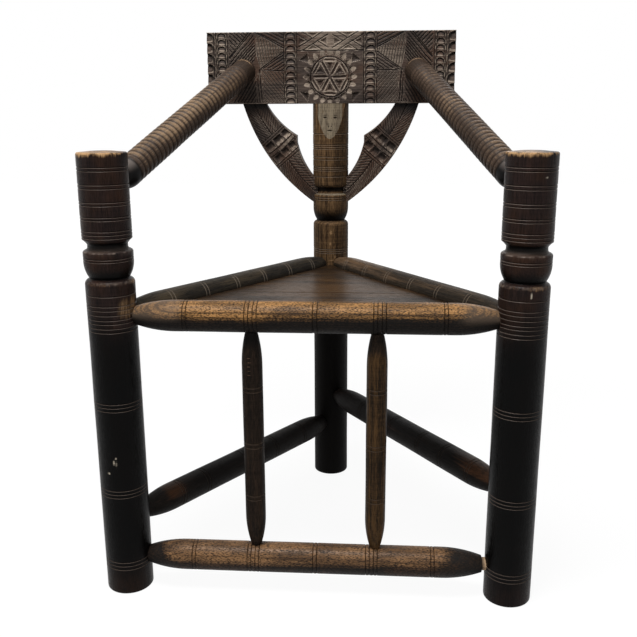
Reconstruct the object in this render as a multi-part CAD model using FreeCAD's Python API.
import FreeCAD, Part
import math
import os

Vector = FreeCAD.Vector

# Three-legged turned armchair with a triangular board seat.
# Millimetres, +Z up, the front faces -Y, origin on the floor under the middle of its outline.

# Plan of the posts
POST_SPACING = 600.0  # between the axes of the two front posts
POST_DEPTH = 452.0  # from the front posts' axes back to the rear post's axis
FRONT_POST_RADIUS = 36.0
REAR_POST_RADIUS = 34.0

# Turning of the posts, from the floor up
FOOT_CHAMFER = 2.0
FRONT_LEG_HEIGHT = 497.0  # plain lower drum
FRONT_CUP_HEIGHT = 40.0  # waist to the rim of the cup
FRONT_POST_HEIGHT = 685.0
REAR_LEG_HEIGHT = 524.0
REAR_CUP_HEIGHT = 51.0
SHOULDER_HEIGHT = 7.0
WAIST_DEPTH = 7.0
BOWL_HEIGHT = 24.0
COVE_HEIGHT = 15.0
COVE_FLAT = 5.0  # straight bottom of the cove
COVE_DEPTH = 7.0
LIP = 2.5
CROWN_EDGE = 5.0
CROWN_RISE = 3.0

# Seat rails and stretchers
SEAT_RAIL_AXIS = 446.0
FRONT_RAIL_RADIUS = 23.5
SIDE_RAIL_RADIUS = 20.0
FRONT_STRETCHER_AXIS = 53.5
FRONT_STRETCHER_RADIUS = 23.5
LEFT_STRETCHER_AXIS = 114.0
RIGHT_STRETCHER_AXIS = 174.0
SIDE_STRETCHER_RADIUS = 22.5
BAR_NECK_RADIUS = 13.0
BAR_TAPER = 62.0
FRONT_STRETCHER_REVEAL = 8.0  # bare tenon that shows at its right end

# Joints
RAIL_TENON_RADIUS = 10.0
LONG_TENON_DEPTH = 26.0
TENON_TIP_GAP = 1.0  # between tenons that meet in a post
JOINT_GAP = 0.15  # glue room round a tenon, a shoulder or a housing
SOCKET_END_GAP = 1.0
TENON_ROOT = 2.5  # a stub tenon starts this far inside its piece

# Spindles
SPINDLE_OFFSET = 93.0  # from the middle of the chair
SPINDLE_RADIUS = 15.5
SPINDLE_TOP_NECK = 9.0
SPINDLE_FOOT_NECK = 7.5
SPINDLE_TAPER = 52.0
SPINDLE_TENON_RADIUS = 6.0
SPINDLE_TENON_DEPTH = 14.0

# Arms
ARM_POST_HEIGHT = 626.0  # where an arm's axis meets its post's axis
ARM_CREST_OFFSET = 154.0  # from the middle, where the axis meets the crest's face
ARM_CREST_HEIGHT = 817.0
ARM_RADIUS = 22.5
ARM_END_RADIUS = 21.5
ARM_DOME = 24.0
ARM_NECK_RADIUS = 13.0
ARM_NECK_BLANK = 12.0  # the neck's blank reaches this far into the post's side
ARM_TENON_RADIUS = 10.0
ARM_POST_TENON = 24.0
ARM_CREST_TENON = 20.0
ARM_RING_COUNT = 31
ARM_GROOVE_DEPTH = 1.8
ARM_GROOVE_WIDTH = 6.0
ARM_PLAIN_FRONT = 4.0
ARM_PLAIN_REAR = 36.0
ARM_RIM = 2.0

# Seat boards
SEAT_TOP = 445.0
SEAT_THICKNESS = 14.0
SEAT_EDGE_INSET = 12.0  # from a rail's axis to the board's edge in its groove
SEAT_POST_GAP = 1.0
SEAT_GROOVE_GAP = 0.3
FRONT_BOARD_WIDTH = 158.0
MIDDLE_BOARD_WIDTH = 130.0

# Crest board
CREST_WIDTH = 462.0
CREST_BOTTOM = 751.0
CREST_HEIGHT = 129.0
CREST_THICKNESS = 30.0
CREST_FRONT = 19.0  # its face stands this far before the rear post's axis
CREST_CHAMFER = 1.5
CREST_TENON_WIDTH = 42.0
CREST_TENON_THICKNESS = 12.0
CREST_TENON_HEIGHT = 70.0
FACET_DROP = 64.0  # sloped facet on the rear post, below the crest

# Pegs
PEG_RADIUS = 4.0
PEG_SPACING = 22.0
PEG_HEIGHT = 35.0  # above the crest's lower edge
PEG_LENGTH = 25.0

# Brackets
BRACKET_THICKNESS = 22.0
BRACKET_TOP_OUTER = 166.0
BRACKET_TOP_INNER = 122.0
BRACKET_NOSE = 64.0
BRACKET_NOSE_TOP = 58.5  # below the crest
BRACKET_NOSE_BOTTOM = 71.0
BRACKET_FOOT_TOP = 138.0
BRACKET_FOOT_BOTTOM = 186.0
BRACKET_BITE = 3.0  # its curves run this far into the post's side
BRACKET_HOUSING = 10.0
BRACKET_OUTER_SAG = 19.5
BRACKET_UPPER_SAG = 5.6
BRACKET_LOWER_SAG = 4.6
BRACKET_TENON_WIDTH = 28.0
BRACKET_TENON_THICKNESS = 10.0
BRACKET_TENON_HEIGHT = 14.0

# Places that follow from the sizes
FRONT_Y = (FRONT_POST_RADIUS - REAR_POST_RADIUS - POST_DEPTH) / 2
REAR_Y = FRONT_Y + POST_DEPTH
HALF_SPACING = POST_SPACING / 2
CREST_FACE_Y = REAR_Y - CREST_FRONT
CREST_BACK_Y = CREST_FACE_Y + CREST_THICKNESS
CREST_MIDDLE_Y = (CREST_FACE_Y + CREST_BACK_Y) / 2
SPINDLE_FOOT = FRONT_STRETCHER_AXIS + FRONT_STRETCHER_RADIUS
SPINDLE_TOP = SEAT_RAIL_AXIS - FRONT_RAIL_RADIUS
LEFT = -1
RIGHT = 1


def arc_edge(start, end, sag):
    """An arc from start to end that bulges by sag to the right of the way there."""
    way = end.sub(start)
    side = Vector(way.z, 0, -way.x)
    side.normalize()
    middle = start.add(end).multiply(0.5).add(side.multiply(sag))
    return Part.Arc(start, middle, end).toShape()


def outline(points):
    """A closed wire in the XZ plane. A point is (x, z), or (x, z, sag) where an arc leads to it."""
    edges = []
    for here, there in zip(points, points[1:] + points[:1]):
        start = Vector(here[0], 0, here[1])
        end = Vector(there[0], 0, there[1])
        if len(there) == 3:
            edges.append(arc_edge(start, end, there[2]))
        else:
            edges.append(Part.makeLine(start, end))
    return Part.Wire(edges)


def swelled(start, end, full):
    """Three points of a taper: a rounded run up to, or down from, the full radius in two straight cuts."""
    rise = abs(end[0] - start[0])
    run = end[1] - start[1]
    curve = (rise * rise + run * run) / (2 * rise)
    turn = math.asin(run / curve) / 2
    middle_radius = full - curve * (1 - math.cos(turn))
    from_full = curve * math.sin(turn)
    middle_height = end[1] - from_full if end[0] == full else start[1] + from_full
    return [start, (middle_radius, middle_height), end]


def turned(points):
    """A solid turned about Z from a profile of (radius, height) points."""
    return Part.Face(outline(points)).revolve(Vector(0, 0, 0), Vector(0, 0, 1), 360)


def round_bar(start, direction, radius, near, far):
    """A plain cylinder along a direction, between two distances from start."""
    return Part.makeCylinder(radius, far - near, start + direction * near, direction)


def along(shape, start, direction):
    """A shape made about Z, laid along a direction from start."""
    shape.Placement = FreeCAD.Placement(start, FreeCAD.Rotation(Vector(0, 0, 1), direction))
    return shape


def post_profile(radius, leg_height, cup_height, top):
    """The turned outline that all three posts share, up to the edge of the upper drum."""
    waist = leg_height + SHOULDER_HEIGHT
    rim = waist + cup_height
    drum = rim + COVE_HEIGHT
    cove_middle = (rim + drum) / 2
    return [
        (0, 0),
        (radius - FOOT_CHAMFER, 0),
        (radius, FOOT_CHAMFER),
        (radius, leg_height),
        *swelled((radius - WAIST_DEPTH, waist), (radius, waist + BOWL_HEIGHT), radius),
        (radius, rim - LIP),
        (radius - LIP, rim),
        (radius - COVE_DEPTH, cove_middle - COVE_FLAT / 2),
        (radius - COVE_DEPTH, cove_middle + COVE_FLAT / 2),
        (radius - LIP, drum),
        (radius, drum + LIP),
        (radius, top),
    ]


def front_post_blank(side):
    """A front post before its sockets are bored."""
    profile = post_profile(
        FRONT_POST_RADIUS, FRONT_LEG_HEIGHT, FRONT_CUP_HEIGHT, FRONT_POST_HEIGHT - CROWN_EDGE
    )
    profile.append((FRONT_POST_RADIUS - CROWN_EDGE, FRONT_POST_HEIGHT - CROWN_RISE))
    profile.append((0, FRONT_POST_HEIGHT))
    post = turned(profile)
    post.translate(Vector(side * HALF_SPACING, FRONT_Y, 0))
    return post


def rear_post_blank():
    """The rear post with its tenon and its sloped facet, before it is bored."""
    profile = post_profile(REAR_POST_RADIUS, REAR_LEG_HEIGHT, REAR_CUP_HEIGHT, CREST_BOTTOM)
    profile.append((0, CREST_BOTTOM))
    post = turned(profile)
    post.translate(Vector(0, REAR_Y, 0))
    slope = (REAR_POST_RADIUS - CREST_FRONT) / FACET_DROP
    over = REAR_POST_RADIUS
    facet = Part.makePolygon(
        [
            Vector(-over, CREST_FACE_Y + slope * over, CREST_BOTTOM + over),
            Vector(-over, CREST_FACE_Y - slope * (FACET_DROP + over), CREST_BOTTOM - FACET_DROP - over),
            Vector(-over, CREST_FACE_Y - slope * (FACET_DROP + over), CREST_BOTTOM + over),
            Vector(-over, CREST_FACE_Y + slope * over, CREST_BOTTOM + over),
        ]
    )
    post = post.cut(Part.Face(facet).extrude(Vector(2 * over, 0, 0)))
    tenon = Part.makeBox(
        CREST_TENON_WIDTH,
        CREST_TENON_THICKNESS,
        CREST_TENON_HEIGHT + TENON_ROOT,
        Vector(
            -CREST_TENON_WIDTH / 2, CREST_MIDDLE_Y - CREST_TENON_THICKNESS / 2, CREST_BOTTOM - TENON_ROOT
        ),
    )
    return post.fuse(tenon)


def post_core(x, y, radius):
    """A tall cylinder on a post's axis, for fitting shoulders and boards to its side."""
    return Part.makeCylinder(radius, FRONT_POST_HEIGHT + CREST_BOTTOM, Vector(x, y, 0))


def front_core(side, gap):
    """The front post's side, grown by a gap."""
    return post_core(side * HALF_SPACING, FRONT_Y, FRONT_POST_RADIUS + gap)


def rear_core(gap):
    """The rear post's side, grown by a gap."""
    return post_core(0, REAR_Y, REAR_POST_RADIUS + gap)


def meeting_tip(own_radius, other_radius, angle):
    """How far from a post's axis a tenon stops, so that it clears one that comes in at an angle."""
    return (other_radius + own_radius * math.cos(angle)) / math.sin(angle) + TENON_TIP_GAP


def cope(core_radius, neck_radius):
    """How far the sides of a neck reach past the near point of the round that it is hollowed to fit."""
    return core_radius - math.sqrt(core_radius**2 - neck_radius**2)


class Bar:
    """A turned bar between two posts, with tapered ends and a round tenon at each."""

    def __init__(self, start, end, radius, start_seat, end_seat, start_tip, end_tip, reveal=0.0):
        self.start = start
        self.direction = end.sub(start)
        self.span = self.direction.Length
        self.direction.normalize()
        self.radius = radius
        self.near_seat = start_seat
        self.far_seat = self.span - end_seat - reveal
        self.near_tip = start_tip
        self.far_tip = self.span - end_tip
        self.near_end = self.near_seat - cope(start_seat, BAR_NECK_RADIUS)
        self.far_end = self.far_seat + cope(end_seat, BAR_NECK_RADIUS)

    def body(self, cores):
        """The bar, its shoulders fitted to the posts' round sides."""
        shape = turned(
            [
                (0, self.near_end),
                *swelled(
                    (BAR_NECK_RADIUS, self.near_end), (self.radius, self.near_end + BAR_TAPER), self.radius
                ),
                *swelled(
                    (self.radius, self.far_end - BAR_TAPER), (BAR_NECK_RADIUS, self.far_end), self.radius
                ),
                (0, self.far_end),
            ]
        )
        shape = along(shape, self.start, self.direction)
        for core in cores:
            shape = shape.cut(core)
        tenon = round_bar(self.start, self.direction, RAIL_TENON_RADIUS, self.near_tip, self.far_tip)
        return shape.fuse(tenon)

    def sockets(self):
        """The holes that take its two tenons."""
        radius = RAIL_TENON_RADIUS + JOINT_GAP
        near = round_bar(
            self.start, self.direction, radius, self.near_tip - SOCKET_END_GAP, self.near_seat + BAR_TAPER
        )
        far = round_bar(
            self.start, self.direction, radius, self.far_seat - BAR_TAPER, self.far_tip + SOCKET_END_GAP
        )
        return near, far


def front_axis(side, height):
    """A point on a front post's axis."""
    return Vector(side * HALF_SPACING, FRONT_Y, height)


def front_bar(height, radius, reveal):
    """A bar between the two front posts."""
    tip = FRONT_POST_RADIUS - LONG_TENON_DEPTH
    return Bar(
        front_axis(LEFT, height),
        front_axis(RIGHT, height),
        radius,
        FRONT_POST_RADIUS,
        FRONT_POST_RADIUS,
        tip,
        tip,
        reveal,
    )


def side_bar(side, height, radius, front_tip, rear_tip):
    """A bar from a front post back to the rear post."""
    return Bar(
        front_axis(side, height),
        Vector(0, REAR_Y, height),
        radius,
        FRONT_POST_RADIUS,
        REAR_POST_RADIUS,
        front_tip,
        rear_tip,
    )


def spindle_profile(foot, top):
    """A slim turned upright between two heights, without its tenons."""
    return [
        (0, foot),
        *swelled((SPINDLE_FOOT_NECK, foot), (SPINDLE_RADIUS, foot + SPINDLE_TAPER), SPINDLE_RADIUS),
        *swelled((SPINDLE_RADIUS, top - SPINDLE_TAPER), (SPINDLE_TOP_NECK, top), SPINDLE_RADIUS),
        (0, top),
    ]


def cross_core(height, radius):
    """A front rail's or stretcher's full round, for fitting a spindle's shoulder to it."""
    return Part.makeCylinder(radius, POST_SPACING, Vector(-HALF_SPACING, FRONT_Y, height), Vector(1, 0, 0))


def spindle(side):
    """One spindle with its shoulders and tenons."""
    foot = SPINDLE_FOOT - cope(FRONT_STRETCHER_RADIUS, SPINDLE_FOOT_NECK)
    top = SPINDLE_TOP + cope(FRONT_RAIL_RADIUS, SPINDLE_TOP_NECK)
    shape = turned(spindle_profile(foot, top))
    shape.translate(Vector(side * SPINDLE_OFFSET, FRONT_Y, 0))
    shape = shape.cut(cross_core(FRONT_STRETCHER_AXIS, FRONT_STRETCHER_RADIUS + JOINT_GAP))
    shape = shape.cut(cross_core(SEAT_RAIL_AXIS, FRONT_RAIL_RADIUS + JOINT_GAP))
    return shape.fuse(spindle_pin(side, SPINDLE_TENON_RADIUS, SPINDLE_TENON_DEPTH))


def spindle_pin(side, radius, depth):
    """A spindle's two tenons in one straight pin, or the sockets for it."""
    foot = SPINDLE_FOOT - depth
    return Part.makeCylinder(
        radius, SPINDLE_TOP + depth - foot, Vector(side * SPINDLE_OFFSET, FRONT_Y, foot)
    )


def spindle_sockets(side):
    """The holes for a spindle in the rail above and the stretcher below."""
    return spindle_pin(side, SPINDLE_TENON_RADIUS + JOINT_GAP, SPINDLE_TENON_DEPTH + SOCKET_END_GAP)


class Arm:
    """A ring-turned arm that climbs from a front post to the crest's face."""

    def __init__(self, side):
        self.side = side
        self.start = Vector(side * HALF_SPACING, FRONT_Y, ARM_POST_HEIGHT)
        face_point = Vector(side * ARM_CREST_OFFSET, CREST_FACE_Y, ARM_CREST_HEIGHT)
        self.direction = face_point.sub(self.start)
        self.face = self.direction.Length
        self.direction.normalize()
        level = math.hypot(self.direction.x, self.direction.y)
        self.seat = FRONT_POST_RADIUS / level
        lean = math.acos(self.direction.y)
        self.end = self.face - ARM_END_RADIUS * math.tan(lean) - JOINT_GAP / self.direction.y

    def profile(self):
        """Neck, dome, rings and the plain square end."""
        dome = self.seat + ARM_DOME
        first = dome + ARM_PLAIN_FRONT
        last = self.end - ARM_PLAIN_REAR
        pitch = (last - first) / ARM_RING_COUNT
        points = [
            (0, self.seat - ARM_NECK_BLANK),
            (ARM_NECK_RADIUS, self.seat - ARM_NECK_BLANK),
            *swelled((ARM_NECK_RADIUS, self.seat), (ARM_RADIUS, dome), ARM_RADIUS),
            (ARM_RADIUS, first),
        ]
        for ring in range(ARM_RING_COUNT):
            groove = first + ring * pitch
            points.append((ARM_RADIUS - ARM_GROOVE_DEPTH, groove + ARM_GROOVE_WIDTH / 2))
            points.append((ARM_RADIUS, groove + ARM_GROOVE_WIDTH))
            points.append((ARM_RADIUS, groove + pitch))
        points.append((ARM_END_RADIUS, last + ARM_RIM))
        points.append((ARM_END_RADIUS, self.end - ARM_RIM))
        points.append((ARM_END_RADIUS - ARM_RIM, self.end))
        points.append((0, self.end))
        return points

    def body(self):
        """The arm, fitted to its post, with a tenon at each end."""
        shape = along(turned(self.profile()), self.start, self.direction)
        shape = shape.cut(front_core(self.side, JOINT_GAP))
        front = self.tenon(self.seat - ARM_POST_TENON, self.seat + ARM_DOME, 0)
        rear = self.tenon(self.end - ARM_PLAIN_REAR, self.face + ARM_CREST_TENON, 0)
        return shape.fuse([front, rear])

    def tenon(self, near, far, gap):
        """A round pin on the arm's axis."""
        return round_bar(self.start, self.direction, ARM_TENON_RADIUS + gap, near, far)

    def post_socket(self):
        """The hole in the front post."""
        return self.tenon(self.seat - ARM_POST_TENON - SOCKET_END_GAP, self.seat + ARM_DOME, JOINT_GAP)

    def crest_socket(self):
        """The slanted hole in the crest."""
        return self.tenon(
            self.end - ARM_PLAIN_REAR, self.face + ARM_CREST_TENON + SOCKET_END_GAP, JOINT_GAP
        )


def seat_panel(grow):
    """The whole triangular seat. Grown, it is the groove that the rails hold it in."""
    inset = SEAT_EDGE_INSET - grow
    slant = math.hypot(HALF_SPACING, POST_DEPTH)
    corner = HALF_SPACING - inset * (slant + HALF_SPACING) / POST_DEPTH
    apex = REAR_Y - inset * slant / HALF_SPACING
    bottom = SEAT_TOP - SEAT_THICKNESS - grow
    triangle = Part.makePolygon(
        [
            Vector(-corner, FRONT_Y + inset, bottom),
            Vector(corner, FRONT_Y + inset, bottom),
            Vector(0, apex, bottom),
            Vector(-corner, FRONT_Y + inset, bottom),
        ]
    )
    panel = Part.Face(triangle).extrude(Vector(0, 0, SEAT_THICKNESS + 2 * grow))
    for core in (front_core(LEFT, SEAT_POST_GAP), front_core(RIGHT, SEAT_POST_GAP), rear_core(SEAT_POST_GAP)):
        panel = panel.cut(core)
    return panel


def seat_board(first, last):
    """The stretch of the seat between two lines across the chair."""
    strip = Part.makeBox(
        POST_SPACING, last - first, SEAT_THICKNESS, Vector(-HALF_SPACING, first, SEAT_TOP - SEAT_THICKNESS)
    )
    return seat_panel(0).common(strip)


def bracket_outline():
    """The right bracket's outline, from the crest down to its housing in the rear post."""
    foot = REAR_POST_RADIUS - BRACKET_BITE
    housing = REAR_POST_RADIUS - BRACKET_HOUSING
    return outline(
        [
            (BRACKET_TOP_INNER, CREST_BOTTOM, BRACKET_UPPER_SAG),
            (BRACKET_TOP_OUTER, CREST_BOTTOM),
            (foot, CREST_BOTTOM - BRACKET_FOOT_BOTTOM, -BRACKET_OUTER_SAG),
            (housing, CREST_BOTTOM - BRACKET_FOOT_BOTTOM),
            (housing, CREST_BOTTOM - BRACKET_FOOT_TOP),
            (foot, CREST_BOTTOM - BRACKET_FOOT_TOP),
            (BRACKET_NOSE, CREST_BOTTOM - BRACKET_NOSE_BOTTOM, BRACKET_LOWER_SAG),
            (BRACKET_NOSE, CREST_BOTTOM - BRACKET_NOSE_TOP),
        ]
    )


def sided(shape, side):
    """A right-hand shape as it is, or mirrored for the left."""
    if side == LEFT:
        return shape.mirror(Vector(0, 0, 0), Vector(1, 0, 0))
    return shape


def bracket_plate(gap):
    """The right bracket's plate, grown by a gap for its housing."""
    wire = bracket_outline()
    if gap:
        wire = wire.makeOffset2D(gap)
    plate = Part.Face(wire).extrude(Vector(0, BRACKET_THICKNESS + 2 * gap, 0))
    plate.translate(Vector(0, CREST_MIDDLE_Y - BRACKET_THICKNESS / 2 - gap, 0))
    return plate


def bracket_tenon(gap):
    """The stub tenon on top of the right bracket, grown by a gap for its mortise."""
    middle = (BRACKET_TOP_INNER + BRACKET_TOP_OUTER) / 2
    width = BRACKET_TENON_WIDTH + 2 * gap
    thickness = BRACKET_TENON_THICKNESS + 2 * gap
    return Part.makeBox(
        width,
        thickness,
        BRACKET_TENON_HEIGHT + TENON_ROOT,
        Vector(middle - width / 2, CREST_MIDDLE_Y - thickness / 2, CREST_BOTTOM - TENON_ROOT),
    )


def bracket(side):
    """A bracket with its stub tenon."""
    return sided(bracket_plate(0).fuse(bracket_tenon(0)), side)


def bracket_mortise(side):
    """The room for a bracket's stub tenon in the crest."""
    mortise = bracket_tenon(JOINT_GAP)
    mortise.translate(Vector(0, 0, SOCKET_END_GAP))
    return sided(mortise, side)


def post_mortise():
    """The room for the rear post's tenon in the crest."""
    width = CREST_TENON_WIDTH + 2 * JOINT_GAP
    thickness = CREST_TENON_THICKNESS + 2 * JOINT_GAP
    return Part.makeBox(
        width,
        thickness,
        CREST_TENON_HEIGHT + TENON_ROOT + SOCKET_END_GAP,
        Vector(-width / 2, CREST_MIDDLE_Y - thickness / 2, CREST_BOTTOM - TENON_ROOT),
    )


def pegs(gap):
    """The two pegs through the crest and the post's tenon, grown by a gap for their holes."""
    pins = []
    for side in (LEFT, RIGHT):
        back = Vector(side * PEG_SPACING / 2, CREST_BACK_Y, CREST_BOTTOM + PEG_HEIGHT)
        pins.append(Part.makeCylinder(PEG_RADIUS + gap, PEG_LENGTH + gap, back, Vector(0, -1, 0)))
    return pins


def crest_blank():
    """The crest board with its eased edges, before it is mortised."""
    board = Part.makeBox(
        CREST_WIDTH,
        CREST_THICKNESS,
        CREST_HEIGHT,
        Vector(-CREST_WIDTH / 2, CREST_FACE_Y, CREST_BOTTOM),
    )
    return board.makeChamfer(CREST_CHAMFER, board.Edges)


def bored(shape, holes):
    """A shape with a list of holes cut from it."""
    for hole in holes:
        shape = shape.cut(hole)
    return shape


def build():
    """Every piece of the chair by name."""
    side_angle = math.atan2(POST_DEPTH, HALF_SPACING)
    rear_angle = math.pi - 2 * side_angle
    front_rail_tip = meeting_tip(RAIL_TENON_RADIUS, RAIL_TENON_RADIUS, side_angle)
    rear_rail_tip = meeting_tip(RAIL_TENON_RADIUS, RAIL_TENON_RADIUS, rear_angle)
    front_tip = FRONT_POST_RADIUS - LONG_TENON_DEPTH
    rear_tip = REAR_POST_RADIUS - LONG_TENON_DEPTH

    front_rail = front_bar(SEAT_RAIL_AXIS, FRONT_RAIL_RADIUS, 0.0)
    front_stretcher = front_bar(FRONT_STRETCHER_AXIS, FRONT_STRETCHER_RADIUS, FRONT_STRETCHER_REVEAL)
    rails = {
        side: side_bar(side, SEAT_RAIL_AXIS, SIDE_RAIL_RADIUS, front_rail_tip, rear_rail_tip)
        for side in (LEFT, RIGHT)
    }
    stretchers = {
        LEFT: side_bar(LEFT, LEFT_STRETCHER_AXIS, SIDE_STRETCHER_RADIUS, front_tip, rear_tip),
        RIGHT: side_bar(RIGHT, RIGHT_STRETCHER_AXIS, SIDE_STRETCHER_RADIUS, front_tip, rear_tip),
    }
    arms = {side: Arm(side) for side in (LEFT, RIGHT)}
    groove = seat_panel(SEAT_GROOVE_GAP)
    front_cores = [front_core(LEFT, JOINT_GAP), front_core(RIGHT, JOINT_GAP)]
    spindle_holes = [spindle_sockets(LEFT), spindle_sockets(RIGHT)]

    pieces = {
        "front_seat_rail": bored(front_rail.body(front_cores), [groove] + spindle_holes),
        "front_stretcher": bored(front_stretcher.body(front_cores), spindle_holes),
    }
    rear_holes = []
    crest_holes = [post_mortise()] + pegs(JOINT_GAP)
    for side, word, end in ((LEFT, "left", 0), (RIGHT, "right", 1)):
        cores = [front_core(side, JOINT_GAP), rear_core(JOINT_GAP)]
        pieces[word + "_seat_rail"] = bored(rails[side].body(cores), [groove])
        pieces[word + "_stretcher"] = stretchers[side].body(cores)
        pieces[word + "_spindle"] = spindle(side)
        pieces[word + "_arm"] = arms[side].body()
        pieces[word + "_bracket"] = bracket(side)
        post_holes = [front_rail.sockets()[end], front_stretcher.sockets()[end]]
        post_holes += [rails[side].sockets()[0], stretchers[side].sockets()[0], arms[side].post_socket()]
        pieces["front_" + word + "_post"] = bored(front_post_blank(side), post_holes)
        rear_holes += [rails[side].sockets()[1], stretchers[side].sockets()[1]]
        rear_holes.append(sided(bracket_plate(JOINT_GAP), side))
        crest_holes += [arms[side].crest_socket(), bracket_mortise(side)]
    pieces["rear_post"] = bored(rear_post_blank(), rear_holes + pegs(JOINT_GAP))
    pieces["crest_board"] = bored(crest_blank(), crest_holes)

    first_joint = FRONT_Y + SEAT_EDGE_INSET + FRONT_BOARD_WIDTH
    second_joint = first_joint + MIDDLE_BOARD_WIDTH
    pieces["seat_front_board"] = seat_board(FRONT_Y, first_joint)
    pieces["seat_middle_board"] = seat_board(first_joint, second_joint)
    pieces["seat_rear_board"] = seat_board(second_joint, REAR_Y)
    pieces["crest_pegs"] = Part.makeCompound(pegs(0))
    return pieces


os.makedirs("parts", exist_ok=True)
for name, shape in build().items():
    shape.exportStep("parts/" + name + ".step")
    print(name, "solids", len(shape.Solids), "valid", shape.isValid(), "mm3", round(shape.Volume))
